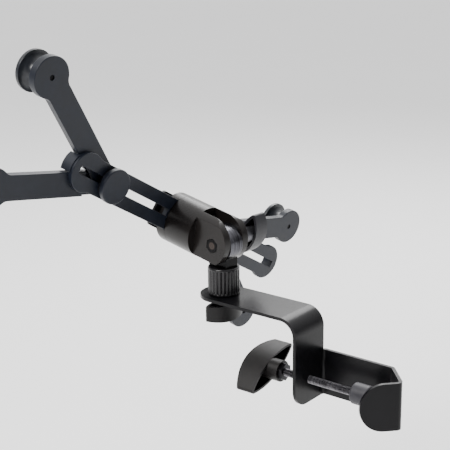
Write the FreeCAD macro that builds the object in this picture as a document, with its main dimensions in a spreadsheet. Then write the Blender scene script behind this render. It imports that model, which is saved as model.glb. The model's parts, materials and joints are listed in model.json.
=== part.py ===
"""Tablet clamp mount: a V-jaw pole clamp, a pan and tilt knuckle and a four-roller tablet head.

The origin lies on the pole's axis at the height of the clamp screw. Z is up along the pole and X is
the way the screw pushes. Lengths are in millimetres and angles in degrees.
"""
import FreeCAD, Part
import math
import os

import Sketcher

SIZES = {
    # Pole clamp: a bent strip with a V jaw
    "pole_diameter": 19.0,
    "vee_half_angle": 46.5,
    "strip_thickness": 2.5,
    "strip_width": 36.5,
    "jaw_height": 36.0,
    "side_wall_offset": 18.2,
    "tongue_length": 28.8,
    "leg_reach": 62.6,
    "plate_rise": 51.0,
    "plate_reach": 80.0,
    "plate_bend_radius": 11.5,
    "jaw_bend_radius": 2.0,
    "leg_corner_radius": 14.0,
    # Clamp screw, its pressure cap, lock nut and wing knob
    "screw_diameter": 6.0,
    "screw_lead": 0.4,
    "screw_stand": 18.9,
    "cap_gap": 0.3,
    "cap_diameter": 16.0,
    "cap_length": 13.7,
    "cap_bore_depth": 8.0,
    "cap_edge_radius": 1.4,
    "lock_nut_flats": 12.0,
    "lock_nut_thickness": 3.2,
    "clamp_wing_length": 59.5,
    "clamp_wing_width": 16.5,
    "clamp_wing_depth": 21.0,
    "clamp_wing_crown": 7.5,
    "clamp_wing_hub_diameter": 16.4,
    "clamp_wing_hub_reach": 9.3,
    "clamp_wing_angle": 24.2,
    # Small wing knobs of the pan and tilt joints
    "wing_length": 36.0,
    "wing_width": 15.0,
    "wing_depth": 13.0,
    "wing_crown": 2.0,
    "wing_hub_diameter": 11.5,
    "pan_hub_reach": 5.0,
    "tilt_hub_reach": 12.5,
    "wing_wall": 1.8,
    "wing_tip_radius": 2.0,
    "knob_bore_depth": 14.0,
    "pan_wing_angle": 80.0,
    "tilt_wing_angle": 100.4,
    # Pan joint
    "pan_angle": -4.83,
    "collar_diameter": 24.4,
    "collar_height": 22.0,
    "flute_count": 24,
    "flute_radius": 1.15,
    "spigot_diameter": 12.0,
    "neck_height": 18.5,
    "neck_width": 17.0,
    "eye_radius": 14.0,
    "eye_width": 13.0,
    "stud_diameter": 6.0,
    "stud_grip": 15.0,
    "washer_diameter": 14.0,
    "washer_thickness": 1.0,
    # Tilt joint and tube
    "tilt_angle": 9.56,
    "cheek_thickness": 6.1,
    "cheek_gap": 0.2,
    "cheek_drop": 14.0,
    "fork_end_radius": 19.0,
    "fork_end_centre": 5.5,
    "fork_depth": 17.5,
    "flat_depth": 18.2,
    "tube_diameter": 40.0,
    "tube_rise": 1.6,
    "tube_reach": 44.1,
    "bolt_head_flats": 10.0,
    "bolt_head_height": 4.0,
    "tilt_washer_diameter": 20.0,
    "tilt_washer_thickness": 3.0,
    # Roll joint, saddle and backing plate
    "roll_angle": 30.4,
    "roll_gap": 0.1,
    "saddle_floor": 5.3,
    "swivel_diameter": 8.0,
    "swivel_head_diameter": 14.0,
    "swivel_head_height": 2.2,
    "swivel_grip": 14.0,
    "backing_length": 51.0,
    "backing_width": 29.0,
    "backing_thickness": 2.2,
    "backing_corner_radius": 4.0,
    "backing_screw_diameter": 3.0,
    "backing_screw_head": 5.6,
    "backing_screw_length": 6.0,
    "backing_screw_across": 22.0,
    "backing_screw_along": 18.0,
    # Slotted bar
    "bar_span": 246.7,
    "bar_offset": 5.15,
    "bar_width": 25.4,
    "bar_thickness": 4.0,
    "bar_disc_radius": 14.8,
    "bar_neck_radius": 10.0,
    "bar_edge_radius": 0.5,
    "slot_width": 5.5,
    "slot_start": 21.5,
    "slot_past_end": 8.0,
    "lip_inner_radius": 10.5,
    "lip_outer_radius": 15.6,
    "lip_outer_side_angle": 34.0,
    "lip_inner_side_angle": 19.0,
    "lip_height": 7.8,
    # Arm carriages on the bar
    "left_carriage_inset": 26.5,
    "right_carriage_inset": 82.8,
    "lock_bolt_diameter": 5.0,
    "lock_knob_diameter": 26.5,
    "lock_knob_height": 5.3,
    "lock_knob_foot_diameter": 23.6,
    "lock_knob_foot_height": 1.0,
    "lock_knob_edge_radius": 1.0,
    "lock_bore_depth": 4.0,
    "lock_washer_diameter": 24.4,
    "lock_head_diameter": 12.0,
    "lock_head_height": 1.4,
    # Arms
    "arm_length": 102.9,
    "arm_width": 18.5,
    "arm_thickness": 6.2,
    "arm_disc_radius": 14.8,
    "arm_eye_radius": 12.2,
    "arm_neck_radius": 8.0,
    "arm_edge_radius": 0.6,
    "lap_radius": 24.0,
    "lap_gap": 0.2,
    "left_outer_arm_angle": 26.4,
    "left_inner_arm_angle": 21.4,
    "right_outer_arm_angle": 27.3,
    "right_inner_arm_angle": 20.9,
    # Rollers and their pins
    "roller_length": 14.3,
    "roller_flange_radius": 15.0,
    "roller_rim_radius": 12.6,
    "roller_waist_radius": 8.0,
    "roller_waist_height": 4.8,
    "roller_groove_end": 11.0,
    "roller_chamfer": 0.6,
    "pin_diameter": 4.0,
    "pin_head_diameter": 8.0,
    "pin_head_height": 2.0,
    "pin_recess": 0.6,
    # Fits, each a gap on the radius or between two faces
    "thread_gap": 0.05,
    "hole_gap": 0.2,
    "running_gap": 0.08,
    "face_gap": 0.1,
    "roller_gap": 0.3,
}

doc = FreeCAD.newDocument("tablet_clamp_mount")
sheet = doc.addObject("Spreadsheet::Sheet", "Sizes")
for row, (alias, number) in enumerate(SIZES.items(), start=1):
    sheet.set(f"A{row}", alias.replace("_", " "))
    sheet.set(f"B{row}", str(number))
    sheet.setAlias(f"B{row}", alias)
doc.recompute()


class Size:
    """A number together with the sheet expression that gives it."""

    def __init__(self, value, text):
        self.value = value
        self.text = text

    def __add__(self, other):
        other = as_size(other)
        return Size(self.value + other.value, f"({self.text} + {other.text})")

    def __sub__(self, other):
        other = as_size(other)
        return Size(self.value - other.value, f"({self.text} - {other.text})")

    def __mul__(self, other):
        other = as_size(other)
        return Size(self.value * other.value, f"({self.text} * {other.text})")

    def __truediv__(self, other):
        other = as_size(other)
        return Size(self.value / other.value, f"({self.text} / {other.text})")

    def __neg__(self):
        return Size(-self.value, f"(0 - {self.text})")


def as_size(number):
    """Give a plain number the form of a size."""
    return number if isinstance(number, Size) else Size(float(number), str(number))


def sine(angle):
    """Sine of a size in degrees."""
    return Size(math.sin(math.radians(angle.value)), f"sin({angle.text} * 1 deg)")


def cosine(angle):
    """Cosine of a size in degrees."""
    return Size(math.cos(math.radians(angle.value)), f"cos({angle.text} * 1 deg)")


def root(size):
    """Square root of a size."""
    return Size(math.sqrt(size.value), f"sqrt({size.text})")


size = {alias: Size(float(sheet.get(alias)), f"Sizes.{alias}") for alias in SIZES}

# Places that several pieces share
leg_inner = -size["leg_reach"]
leg_outer = leg_inner - size["strip_thickness"]
plate_under = size["plate_rise"] - size["strip_thickness"]
pan_x = leg_inner - size["plate_reach"]
post_shoulder = size["plate_rise"] + size["collar_height"]
pivot_height = post_shoulder + size["neck_height"]
screw_head = leg_outer - size["screw_stand"]
cap_front = -size["pole_diameter"] / 2 - size["cap_gap"]
cheek_inner = size["eye_width"] / 2 + size["cheek_gap"]
cheek_outer = cheek_inner + size["cheek_thickness"]
bar_face = size["tube_reach"]
bar_back = bar_face + size["bar_thickness"]
saddle_back = bar_back + size["saddle_floor"]
arm_back = bar_back + size["arm_thickness"]
roller_start = arm_back + size["roller_gap"]
lap_thickness = (size["arm_thickness"] - size["lap_gap"]) / 2
bar_reach = {
    "left": size["bar_span"] / 2 - size["bar_offset"],
    "right": size["bar_span"] / 2 + size["bar_offset"],
}
UP = FreeCAD.Vector(0, 0, 1)
ALONG_X = FreeCAD.Vector(1, 0, 0)
ALONG_Y = FreeCAD.Vector(0, 1, 0)


class Arc:
    """A round stretch of an outline between its two neighbours, about a centre."""

    def __init__(self, x, y, clockwise=False):
        self.x = as_size(x)
        self.y = as_size(y)
        self.clockwise = clockwise


class Outline:
    """A sketch on an origin plane of a body, every point of it held by sheet sizes."""

    def __init__(self, body, name, plane, lift=0):
        self.sketch = body.newObject("Sketcher::SketchObject", name)
        planes = {item.Role: item for item in body.Origin.OriginFeatures}
        self.sketch.AttachmentSupport = (planes[plane], [""])
        self.sketch.MapMode = "FlatFace"
        lift = as_size(lift)
        self.sketch.AttachmentOffset = FreeCAD.Placement(UP * lift.value, FreeCAD.Rotation())
        self.sketch.setExpression("AttachmentOffset.Base.z", lift.text)

    def dimension(self, kind, place, length):
        """Add one dimension bound to the sheet."""
        number = self.sketch.addConstraint(Sketcher.Constraint(kind, *place, length.value))
        self.sketch.setExpression(f"Constraints[{number}]", length.text)

    def hold_x(self, geometry, point, x):
        """Fix the first coordinate of a point."""
        if x.value == 0:
            self.sketch.addConstraint(Sketcher.Constraint("PointOnObject", geometry, point, -2))
        else:
            self.dimension("DistanceX", (-1, 1, geometry, point), x)

    def hold_y(self, geometry, point, y):
        """Fix the second coordinate of a point."""
        if y.value == 0:
            self.sketch.addConstraint(Sketcher.Constraint("PointOnObject", geometry, point, -1))
        else:
            self.dimension("DistanceY", (-1, 1, geometry, point), y)

    def circle(self, x, y, radius):
        """Draw a circle."""
        x, y = as_size(x), as_size(y)
        centre = FreeCAD.Vector(x.value, y.value, 0)
        number = self.sketch.addGeometry(Part.Circle(centre, UP, radius.value), False)
        self.hold_x(number, 3, x)
        self.hold_y(number, 3, y)
        self.dimension("Radius", (number,), radius)
        return self

    def path(self, *steps):
        """Draw a closed outline through corners, with an Arc between two of them where round."""
        corners = [index for index, step in enumerate(steps) if not isinstance(step, Arc)]
        joints = []
        for index in corners:
            start = [as_size(item) for item in steps[index]]
            after = steps[(index + 1) % len(steps)]
            if isinstance(after, Arc):
                end = [as_size(item) for item in steps[(index + 2) % len(steps)]]
                number = self.arc(start, end, after)
                joints.append((number, 2, 1) if after.clockwise else (number, 1, 2))
            else:
                end = [as_size(item) for item in after]
                line = Part.LineSegment(flat(start), flat(end))
                joints.append((self.sketch.addGeometry(line, False), 1, 2))
        for (number, _, last), (follower, first, _) in zip(joints, joints[1:] + joints[:1]):
            self.sketch.addConstraint(Sketcher.Constraint("Coincident", number, last, follower, first))
        for index, (number, first, _) in zip(corners, joints):
            x, y = (as_size(item) for item in steps[index])
            self.hold_x(number, first, x)
            self.hold_y(number, first, y)
        return self

    def arc(self, start, end, arc):
        """Draw an arc and hold its centre along the line that it can still move on."""
        first, last = (end, start) if arc.clockwise else (start, end)
        radius = math.hypot(start[0].value - arc.x.value, start[1].value - arc.y.value)
        circle = Part.Circle(flat((arc.x, arc.y)), UP, radius)
        turn = [math.atan2(p[1].value - arc.y.value, p[0].value - arc.x.value) for p in (first, last)]
        number = self.sketch.addGeometry(Part.ArcOfCircle(circle, *turn), False)
        across = abs(end[0].value - start[0].value)
        along = abs(end[1].value - start[1].value)
        if across > along:
            self.hold_y(number, 3, arc.y)
        else:
            self.hold_x(number, 3, arc.x)
        return number


def flat(point):
    """Place a pair of sizes in the sketch plane."""
    return FreeCAD.Vector(point[0].value, point[1].value, 0)


def bind(feature, **lengths):
    """Bind properties of a feature to sheet sizes."""
    for name, length in lengths.items():
        feature.setExpression(name, length.text)


def volume_of(body):
    """Volume of a body after a recompute."""
    doc.recompute()
    return body.Shape.Volume


def pad(body, outline, length, name, symmetric=False):
    """Add material on the sketch's upper side, or to both sides of it."""
    feature = body.newObject("PartDesign::Pad", name)
    feature.Profile = outline.sketch
    feature.Midplane = symmetric
    bind(feature, Length=length)
    doc.recompute()
    return feature


def pocket(body, outline, length, name, symmetric=False, upward=False):
    """Cut below the sketch, above it with upward, or on both sides of it."""
    before = volume_of(body)
    feature = body.newObject("PartDesign::Pocket", name)
    feature.Profile = outline.sketch
    feature.Midplane = symmetric
    feature.Reversed = upward
    bind(feature, Length=length)
    if volume_of(body) >= before:
        raise RuntimeError(f"{body.Label} {name} cut nothing")
    return feature


def turn(body, outline, name):
    """Revolve an outline of radius and height about the body's Z axis."""
    feature = body.newObject("PartDesign::Revolution", name)
    feature.Profile = outline.sketch
    feature.ReferenceAxis = (outline.sketch, ["V_Axis"])
    feature.Angle = 360
    doc.recompute()
    return feature


def fillet(body, radius, name, chosen):
    """Round the edges that pass a test on their middle point, direction and end points."""
    base = body.Tip
    edges = [f"Edge{i}" for i, edge in enumerate(base.Shape.Edges, start=1) if chosen(edge)]
    if not edges:
        raise RuntimeError(f"{body.Label} {name} found no edges")
    feature = body.newObject("PartDesign::Fillet", name)
    feature.Base = (base, edges)
    bind(feature, Radius=radius)
    doc.recompute()
    return feature


def middle(edge):
    """Middle point of an edge."""
    return edge.valueAt((edge.FirstParameter + edge.LastParameter) / 2)


def upright_at(*points):
    """Choose the edges parallel to Z that stand on the given points of the XY plane."""
    spots = [FreeCAD.Vector(as_size(x).value, as_size(y).value, 0) for x, y in points]

    def chosen(edge):
        if len(edge.Vertexes) < 2:
            return False
        first, last = (vertex.Point for vertex in edge.Vertexes)
        upright = math.hypot(first.x - last.x, first.y - last.y) < 1e-4
        return upright and any(math.hypot(first.x - p.x, first.y - p.y) < 1e-3 for p in spots)

    return chosen


def level_at(*heights):
    """Choose the edges that lie flat at one of the given heights."""

    def chosen(edge):
        box = edge.BoundBox
        return any(abs(box.ZMin - z.value) < 1e-4 and abs(box.ZMax - z.value) < 1e-4 for z in heights)

    return chosen


def new_body(label):
    """Start a body under its node name."""
    return doc.addObject("PartDesign::Body", label)


def hexagon(flats):
    """Corners of a hexagon of a width across flats, one corner on the first axis."""
    corner = flats / 2 / cosine(as_size(30))
    return [(corner * cosine(as_size(60 * k)), corner * sine(as_size(60 * k))) for k in range(6)]


def turned_piece(label, steps):
    """Make a body by turning one outline of radius and height about Z."""
    body = new_body(label)
    turn(body, Outline(body, label + "_profile", "XZ_Plane").path(*steps), label + "_turned")
    return body


def washer(label, diameter, thickness, bore):
    """Make a flat washer that stands on the XY plane."""
    body = new_body(label)
    outline = Outline(body, label + "_outline", "XY_Plane").circle(0, 0, diameter / 2)
    pad(body, outline.circle(0, 0, bore), thickness, label + "_disc")
    return body


def clamp_bracket():
    """Bend the strip into plate, leg, side wall and V jaw."""
    body = new_body("clamp_bracket")
    half = size["strip_width"] / 2
    wall = size["strip_thickness"]
    low = -size["jaw_height"] / 2
    plate = Outline(body, "plate_outline", "XY_Plane", plate_under)
    plate.path((leg_inner, -half), (leg_inner, half), (pan_x, half), Arc(pan_x, 0), (pan_x, -half))
    pad(body, plate, wall, "plate")
    leg = Outline(body, "leg_outline", "YZ_Plane", leg_outer)
    top = size["plate_rise"]
    side, bend = size["side_wall_offset"], size["jaw_bend_radius"]
    leg.path(
        (-half, low), (side - bend, low), (side - bend, -low), (half, -low), (half, top), (-half, top),
    )
    pad(body, leg, wall, "leg")

    sin_vee, cos_vee = sine(size["vee_half_angle"]), cosine(size["vee_half_angle"])
    apex = size["pole_diameter"] / 2 / sin_vee
    apex_outer = apex + wall / sin_vee
    side_outer = side + wall
    turn_x, turn_y = leg_inner + bend, side - bend
    knee = apex - side * cos_vee / sin_vee
    knee_outer = apex_outer - side_outer * cos_vee / sin_vee
    tongue = size["tongue_length"]
    tip = (apex - tongue * cos_vee, -tongue * sin_vee)
    tip_outer = (tip[0] + wall * sin_vee, tip[1] - wall * cos_vee)
    strip = Outline(body, "jaw_outline", "XY_Plane")
    strip.path(
        (leg_outer, 0), (leg_outer, turn_y), Arc(turn_x, turn_y, clockwise=True), (turn_x, side_outer),
        (knee_outer, side_outer), (apex_outer, 0), tip_outer, tip, (apex, 0), (knee, side),
        (turn_x, side), Arc(turn_x, turn_y), (leg_inner, turn_y), (leg_inner, 0),
    )
    pad(body, strip, size["jaw_height"], "jaw", symmetric=True)

    fillet(body, bend, "jaw_bends_inside", upright_at((apex, 0), (knee, side)))
    outer_bends = upright_at((apex_outer, 0), (knee_outer, side_outer))
    fillet(body, bend + wall, "jaw_bends_outside", outer_bends)
    plate_bend = size["plate_bend_radius"]

    def bend_edge(x, z):
        def chosen(edge):
            spot = middle(edge)
            wide = edge.BoundBox.YLength > size["strip_width"].value * 0.9
            return wide and abs(spot.x - x.value) < 1e-3 and abs(spot.z - z.value) < 1e-3
        return chosen

    fillet(body, plate_bend, "plate_bend_inside", bend_edge(leg_outer, plate_under))
    fillet(body, plate_bend + wall, "plate_bend_outside", bend_edge(leg_inner, size["plate_rise"]))

    def leg_corner(edge):
        spot = middle(edge)
        on_edge = abs(spot.y + half.value) < 1e-3 and abs(spot.z - low.value) < 1e-3
        return on_edge and abs(edge.BoundBox.XLength - wall.value) < 1e-3

    fillet(body, size["leg_corner_radius"], "leg_corner", leg_corner)
    tip_middle = ((tip[0] + tip_outer[0]) / 2, (tip[1] + tip_outer[1]) / 2)

    def tongue_corner(edge):
        spot = middle(edge)
        near = math.hypot(spot.x - tip_middle[0].value, spot.y - tip_middle[1].value) < 0.01
        return near and abs(abs(spot.z) + low.value) < 1e-3

    fillet(body, -low - size["face_gap"], "tongue_round", tongue_corner)
    bolt_hole = Outline(body, "pan_hole_outline", "XY_Plane", size["plate_rise"])
    bolt_hole.circle(pan_x, 0, size["stud_diameter"] / 2 + size["hole_gap"])
    pocket(body, bolt_hole, wall, "pan_hole")
    screw_hole = Outline(body, "screw_hole_outline", "YZ_Plane", leg_inner)
    screw_hole.circle(0, 0, size["screw_diameter"] / 2 + size["thread_gap"])
    pocket(body, screw_hole, wall, "screw_hole")
    return body


def clamp_screw():
    """Turn the threaded rod that runs from the wing knob into the pressure cap."""
    radius = size["screw_diameter"] / 2
    start = screw_head - size["lock_nut_thickness"] - size["knob_bore_depth"] + size["face_gap"]
    end = cap_front - size["cap_length"] + size["cap_bore_depth"] - size["face_gap"]
    lead = size["screw_lead"]
    return turned_piece("clamp_screw", [
        (0, start), (radius - lead, start), (radius, start + lead), (radius, end - lead),
        (radius - lead, end), (0, end),
    ])


def clamp_lock_nut():
    """Cut the hexagon nut that locks the wing knob on the screw."""
    body = new_body("clamp_lock_nut")
    outline = Outline(body, "lock_nut_outline", "XY_Plane").path(*hexagon(size["lock_nut_flats"]))
    outline.circle(0, 0, size["screw_diameter"] / 2 + size["thread_gap"])
    pad(body, outline, size["lock_nut_thickness"], "lock_nut_block")
    return body


def pressure_cap():
    """Turn the blunt cap that bears on the pole; its bore takes the screw's end."""
    radius = size["cap_diameter"] / 2
    bore = size["screw_diameter"] / 2 + size["thread_gap"]
    back = cap_front - size["cap_length"]
    edge = size["cap_edge_radius"]
    return turned_piece("pressure_cap", [
        (bore, back), (radius - edge, back), Arc(radius - edge, back + edge), (radius, back + edge),
        (radius, cap_front - edge), Arc(radius - edge, cap_front - edge), (radius - edge, cap_front),
        (0, cap_front), (0, back + size["cap_bore_depth"]), (bore, back + size["cap_bore_depth"]),
    ])


def lens(outline, half_length, half_width):
    """Draw the pointed oval that two equal arcs enclose."""
    radius = (half_length * half_length + half_width * half_width) / (half_width * 2)
    drop = radius - half_width
    return outline.path((half_length, 0), Arc(0, -drop), (-half_length, 0), Arc(0, drop))


def wing_knob(label, kind, hub_reach, bore):
    """Make a hollow wing knob whose hub ends on the XY plane and whose shell opens upward."""
    body = new_body(label)
    half_length, half_width = size[kind + "_length"] / 2, size[kind + "_width"] / 2
    rim = -hub_reach
    back = rim - size[kind + "_depth"]
    crown = size[kind + "_crown"]
    shoulder = back + crown
    wall = size["wing_wall"]
    crown_radius = (half_length * half_length + crown * crown) / (crown * 2)
    side = Outline(body, label + "_side", "XZ_Plane")
    side.path(
        (half_length, rim), (half_length, shoulder), Arc(0, back + crown_radius, clockwise=True),
        (-half_length, shoulder), (-half_length, rim),
    )
    pad(body, side, half_width * 2, label + "_block", symmetric=True)
    outer = half_length + wall
    broad = half_width + wall
    around = Outline(body, label + "_around", "XY_Plane", back)
    around.path((outer, -broad), (outer, broad), (-outer, broad), (-outer, -broad))
    lens(around, half_length, half_width)
    pocket(body, around, size[kind + "_depth"], label + "_planform", upward=True)
    tips = upright_at((half_length, 0), (-half_length, 0))
    fillet(body, size["wing_tip_radius"], label + "_tips", tips)
    floor = shoulder + wall
    hollow = Outline(body, label + "_hollow_outline", "XY_Plane", rim)
    lens(hollow, half_length - wall * 2, half_width - wall)
    pocket(body, hollow, rim - floor, label + "_hollow")
    hub = Outline(body, label + "_hub_outline", "XY_Plane", floor - wall / 2)
    hub.circle(0, 0, size[kind + "_hub_diameter"] / 2)
    pad(body, hub, -floor + wall / 2, label + "_hub")
    hole = Outline(body, label + "_bore_outline", "XY_Plane").circle(0, 0, bore)
    pocket(body, hole, size["knob_bore_depth"], label + "_bore")
    return body


def fluted_collar():
    """Pad the collar and cut its flutes all round."""
    body = new_body("fluted_collar")
    radius = size["collar_diameter"] / 2
    ring = Outline(body, "collar_outline", "XY_Plane", size["plate_rise"]).circle(0, 0, radius)
    ring.circle(0, 0, size["spigot_diameter"] / 2 + size["thread_gap"])
    pad(body, ring, size["collar_height"], "collar_ring")
    groove = Outline(body, "flute_outline", "XY_Plane", post_shoulder)
    groove.circle(radius + size["flute_radius"] / 3, 0, size["flute_radius"])
    flute = pocket(body, groove, size["collar_height"], "flute")
    pattern = body.newObject("PartDesign::PolarPattern", "flutes")
    pattern.Originals = [flute]
    pattern.Axis = (groove.sketch, ["N_Axis"])
    pattern.Angle = 360
    bind(pattern, Occurrences=size["flute_count"])
    body.Tip = pattern
    doc.recompute()
    return body


def knuckle_post():
    """Make the post: a spigot in the collar, a flat-sided neck and the eye of the tilt joint."""
    body = new_body("knuckle_post")
    reach, radius = size["neck_width"] / 2, size["eye_radius"]
    join = pivot_height - root(radius * radius - reach * reach)
    eye = Outline(body, "eye_outline", "XZ_Plane")
    eye.path(
        (reach, post_shoulder), (reach, join), Arc(0, pivot_height), (-reach, join),
        (-reach, post_shoulder),
    )
    pad(body, eye, size["eye_width"], "eye_and_neck", symmetric=True)
    spigot = Outline(body, "spigot_outline", "XY_Plane", size["plate_rise"])
    spigot.circle(0, 0, size["spigot_diameter"] / 2)
    pad(body, spigot, size["collar_height"] + size["neck_height"] / 4, "spigot")
    bore = Outline(body, "stud_bore_outline", "XY_Plane", size["plate_rise"])
    bore.circle(0, 0, size["stud_diameter"] / 2 + size["thread_gap"])
    pocket(body, bore, size["stud_grip"] + size["face_gap"], "stud_bore", upward=True)
    pivot = Outline(body, "pivot_outline", "XZ_Plane")
    pivot.circle(0, pivot_height, size["stud_diameter"] / 2 + size["running_gap"])
    pocket(body, pivot, size["eye_width"] * 2, "pivot_bore", symmetric=True)
    return body


def pan_bolt():
    """Turn the stud that holds the post on the plate and carries the pan knob."""
    radius = size["stud_diameter"] / 2
    low = plate_under - size["washer_thickness"] - size["knob_bore_depth"] + size["face_gap"]
    high = size["plate_rise"] + size["stud_grip"]
    return turned_piece("pan_bolt", [(0, low), (radius, low), (radius, high), (0, high)])


def clevis_tube():
    """Cut the fork into one end of the tube; the other end stands on the slotted bar."""
    body = new_body("clevis_tube")
    radius = size["tube_diameter"] / 2
    middle_y = -size["tube_rise"]
    end, centre, drop = size["fork_end_radius"], size["fork_end_centre"], size["cheek_drop"]
    low = -size["tube_diameter"]
    blank = Outline(body, "tube_outline", "XY_Plane", -radius).circle(0, middle_y, radius)
    pad(body, blank, bar_face - size["roll_gap"] + radius, "tube_blank")
    top = size["flat_depth"]
    flats = Outline(body, "flats_outline", "XZ_Plane")
    for way in (1, -1):
        inner, outer = cheek_outer * way, size["tube_diameter"] * way
        flats.path((inner, low), (outer, low), (outer, top), (inner, top))
    pocket(body, flats, size["tube_diameter"] * 2, "fork_flats", symmetric=True)
    slot = Outline(body, "fork_slot_outline", "XZ_Plane")
    high = size["fork_depth"]
    slot.path((cheek_inner, low), (cheek_inner, high), (-cheek_inner, high), (-cheek_inner, low))
    pocket(body, slot, size["tube_diameter"] * 2, "fork_slot", symmetric=True)
    ends = Outline(body, "fork_end_outline", "YZ_Plane")
    broad = size["tube_diameter"]
    corner = centre - root(end * end - (drop - middle_y) * (drop - middle_y))
    ends.path(
        (middle_y - end, centre), Arc(middle_y, centre), (drop, corner), (drop, top), (broad, top),
        (broad, low), (-broad, low), (-broad, centre),
    )
    pocket(body, ends, size["tube_diameter"] * 2, "fork_ends", symmetric=True)
    bore = Outline(body, "tilt_bore_outline", "YZ_Plane")
    bore.circle(0, 0, size["stud_diameter"] / 2 + size["running_gap"])
    pocket(body, bore, size["tube_diameter"] * 2, "tilt_bore", symmetric=True)
    recess = Outline(body, "head_recess_outline", "YZ_Plane", -cheek_outer)
    recess.path(*hexagon(size["bolt_head_flats"] + size["hole_gap"] * 2))
    pocket(body, recess, size["bolt_head_height"] + size["face_gap"], "head_recess", upward=True)
    foot = Outline(body, "swivel_bore_outline", "XY_Plane", bar_face - size["roll_gap"])
    foot.circle(0, middle_y, size["swivel_diameter"] / 2 + size["thread_gap"])
    pocket(body, foot, size["swivel_grip"], "swivel_bore")
    return body


def tilt_bolt():
    """Make the hexagon bolt whose head is sunk in one cheek of the fork."""
    body = new_body("tilt_bolt")
    head = Outline(body, "bolt_head_outline", "YZ_Plane", -cheek_outer)
    head.path(*hexagon(size["bolt_head_flats"]))
    pad(body, head, size["bolt_head_height"], "bolt_head")
    shank = Outline(body, "bolt_shank_outline", "YZ_Plane", -cheek_outer)
    shank.circle(0, 0, size["stud_diameter"] / 2)
    hub = cheek_outer + size["tilt_washer_thickness"]
    length = cheek_outer + hub + size["knob_bore_depth"] - size["face_gap"]
    pad(body, shank, length, "bolt_shank")
    return body


def saddle_block():
    """Make the round saddle with the channel that holds the bar."""
    body = new_body("saddle_block")
    radius = size["tube_diameter"] / 2
    disc = Outline(body, "saddle_outline", "XY_Plane", bar_face).circle(0, 0, radius)
    pad(body, disc, saddle_back - bar_face, "saddle_disc")
    half = size["bar_width"] / 2 + size["thread_gap"]
    channel = Outline(body, "channel_outline", "XY_Plane", bar_face)
    outer = size["tube_diameter"]
    channel.path((-outer, -half), (outer, -half), (outer, half), (-outer, half))
    pocket(body, channel, size["bar_thickness"], "bar_channel", upward=True)
    hole = Outline(body, "swivel_hole_outline", "XY_Plane", saddle_back)
    hole.circle(0, 0, size["swivel_diameter"] / 2 + size["running_gap"])
    pocket(body, hole, size["saddle_floor"], "swivel_hole")
    seat = Outline(body, "swivel_seat_outline", "XY_Plane", saddle_back)
    seat.circle(0, 0, size["swivel_head_diameter"] / 2 + size["hole_gap"])
    pocket(body, seat, size["swivel_head_height"] + size["face_gap"], "swivel_seat")
    holes = Outline(body, "saddle_screw_outline", "XY_Plane", saddle_back)
    for x, y in backing_screw_places():
        holes.circle(x, y, size["backing_screw_diameter"] / 2 + size["thread_gap"])
    depth = size["backing_screw_length"] - size["backing_thickness"] + size["face_gap"]
    pocket(body, holes, depth, "saddle_screw_holes")
    return body


def backing_screw_places():
    """Centres of the screws of the backing plate."""
    x, y = size["backing_screw_across"] / 2, size["backing_screw_along"] / 2
    return [(x, y), (-x, y), (-x, -y), (x, -y)]


def swivel_screw():
    """Turn the screw that holds saddle and bar on the tube and lets them roll."""
    radius, head = size["swivel_diameter"] / 2, size["swivel_head_diameter"] / 2
    under = saddle_back - size["swivel_head_height"]
    top = saddle_back - size["face_gap"]
    start = bar_face - size["roll_gap"] - size["swivel_grip"] + size["face_gap"]
    return turned_piece("swivel_screw", [
        (0, start), (radius, start), (radius, under), (head, under), (head, top), (0, top),
    ])


def backing_plate():
    """Make the flat plate behind the tablet."""
    body = new_body("backing_plate")
    x, y = size["backing_length"] / 2, size["backing_width"] / 2
    outline = Outline(body, "backing_outline", "XY_Plane", saddle_back)
    outline.path((-x, -y), (x, -y), (x, y), (-x, y))
    pad(body, outline, size["backing_thickness"], "backing_slab")
    corners = upright_at((x, y), (-x, y), (x, -y), (-x, -y))
    fillet(body, size["backing_corner_radius"], "backing_corners", corners)
    high = saddle_back + size["backing_thickness"]
    for number, (across, along) in enumerate(backing_screw_places(), start=1):
        sink = Outline(body, f"sink_outline_{number}", "XY_Plane", high)
        sink.circle(across, along, size["backing_screw_head"] / 2 + size["thread_gap"])
        pocket(body, sink, backing_head_height(), f"sink_{number}")
    holes = Outline(body, "backing_hole_outline", "XY_Plane", high)
    for across, along in backing_screw_places():
        holes.circle(across, along, size["backing_screw_diameter"] / 2 + size["thread_gap"])
    pocket(body, holes, size["backing_thickness"], "backing_holes")
    return body


def backing_head_height():
    """Height of a backing screw's head."""
    return size["backing_screw_diameter"] / 2


def backing_screws():
    """Group the four screws that hold the backing plate on the saddle."""
    high = saddle_back + size["backing_thickness"]
    shank_low, head_low = high - size["backing_screw_length"], high - backing_head_height()
    screws = []
    for number, (x, y) in enumerate(backing_screw_places(), start=1):
        shank = doc.addObject("Part::Cylinder", f"backing_shank_{number}")
        bind(shank, Radius=size["backing_screw_diameter"] / 2, Height=size["backing_screw_length"])
        head = doc.addObject("Part::Cylinder", f"backing_head_{number}")
        bind(head, Radius=size["backing_screw_head"] / 2, Height=backing_head_height())
        for piece, low in ((shank, shank_low), (head, head_low)):
            piece.setExpression("Placement.Base.x", x.text)
            piece.setExpression("Placement.Base.y", y.text)
            piece.setExpression("Placement.Base.z", low.text)
        screw = doc.addObject("Part::Fuse", f"backing_screw_{number}")
        screw.Base, screw.Tool = shank, head
        screws.append(screw)
    group = doc.addObject("Part::Compound", "backing_screws")
    group.Links = screws
    doc.recompute()
    return group


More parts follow.
